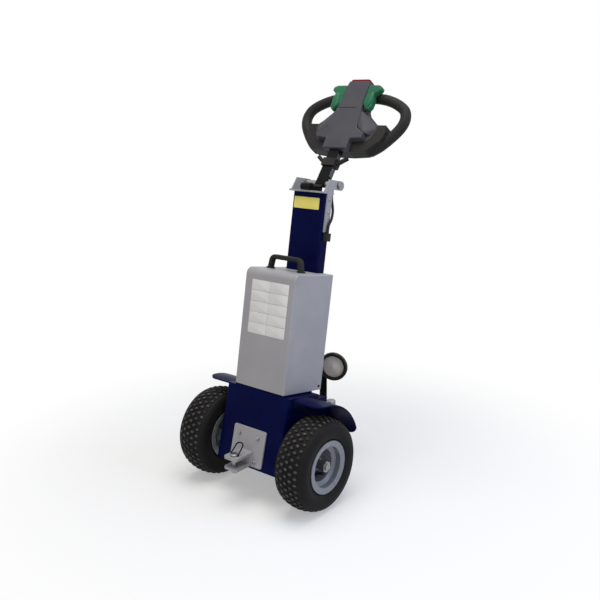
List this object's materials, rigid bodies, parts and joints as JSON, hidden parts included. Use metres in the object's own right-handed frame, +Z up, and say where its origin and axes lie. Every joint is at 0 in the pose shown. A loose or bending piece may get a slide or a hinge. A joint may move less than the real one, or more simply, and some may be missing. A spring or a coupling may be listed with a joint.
{
  "type": "pedestrian electric tow tug",
  "caption": "Walk-behind electric tow tug: leaning blue chassis and column, grey battery cover, air tyres, rear castor, tow jaw and a tilting tiller with a grip loop.",
  "frame": {"origin": "on the floor, at the middle of the box round the parked machine", "axes": "+Z up, -Y the way the tow jaw faces, +Y towards the operator's tiller, +X along the axle"},
  "size_m": [0.49, 0.6577, 1.2087],
  "materials": {
    "blue_paint": "gloss powder coat",
    "grey_paint": "satin powder coat",
    "black_steel": "satin black",
    "black_plastic": "moulded, soft sheen",
    "grey_plastic": "fine moulded grain",
    "green_plastic": "moulded",
    "red_plastic": "moulded",
    "orange_plastic": "moulded",
    "tyre_rubber": "matte rubber",
    "rim_paint": "silver paint",
    "bright_steel": "zinc plated",
    "battery_case": null,
    "cast_case": "cast",
    "motor_case": "painted",
    "castor_rubber": "matte rubber",
    "castor_hub": "moulded",
    "horn_metal": "pressed metal face"
  },
  "bodies": {
    "chassis": {"chassis_shell": "blue_paint", "axle_housing": "cast_case", "drive_motor": "motor_case", "mudguard_left": "blue_paint", "mudguard_right": "blue_paint", "tow_plate": "grey_paint", "tow_jaw": "grey_paint", "tow_pin": "bright_steel", "pin_bail": "black_steel", "battery_tray": "blue_paint", "battery_block": "battery_case", "battery_cover": "grey_paint", "cover_handle": "black_plastic", "column": "blue_paint", "tiller_bracket": "grey_paint", "pivot_bolt": "bright_steel", "tilt_stop": "black_steel", "cable_gland": "black_plastic", "tiller_cable": "black_plastic", "castor_arm": "blue_paint", "castor_plate": "bright_steel", "horn_post": "black_steel", "horn": "horn_metal"},
    "wheel_left": {"tyre_left": "tyre_rubber", "rim_left": "rim_paint", "hub_left": "bright_steel"},
    "wheel_right": {"tyre_right": "tyre_rubber", "rim_right": "rim_paint", "hub_right": "bright_steel"},
    "castor_fork": {"castor_fork": "bright_steel"},
    "castor_wheel": {"castor_tyre": "castor_rubber", "castor_hub": "castor_hub"},
    "tiller": {"tiller_arm": "black_steel", "arm_clamp": "black_plastic", "head_lower": "grey_plastic", "head_upper": "grey_plastic", "grip_loop": "black_plastic", "throttle_left": "green_plastic", "throttle_right": "green_plastic", "belly_button": "red_plastic", "stop_button": "orange_plastic", "charge_gauge": "black_plastic"}
  },
  "joints": [
    {"name": "wheel_left_spin", "type": "hinge", "parent": "chassis", "child": "wheel_left", "pos_m": [-0.193, -0.1759, 0.138], "axis": [1, 0, 0], "continuous": true},
    {"name": "wheel_right_spin", "type": "hinge", "parent": "chassis", "child": "wheel_right", "pos_m": [0.193, -0.1759, 0.138], "axis": [1, 0, 0], "continuous": true},
    {"name": "castor_swivel", "type": "hinge", "parent": "chassis", "child": "castor_fork", "pos_m": [0, 0.1551, 0.124], "axis": [0, 0, 1], "continuous": true},
    {"name": "castor_spin", "type": "hinge", "parent": "castor_fork", "child": "castor_wheel", "pos_m": [0, 0.1901, 0.05], "axis": [1, 0, 0], "continuous": true},
    {"name": "tiller_tilt", "type": "hinge", "parent": "chassis", "child": "tiller", "pos_m": [0, 0.10234, 0.89823], "axis": [1, 0, 0], "range_deg": [-40, 30]}
  ]
}
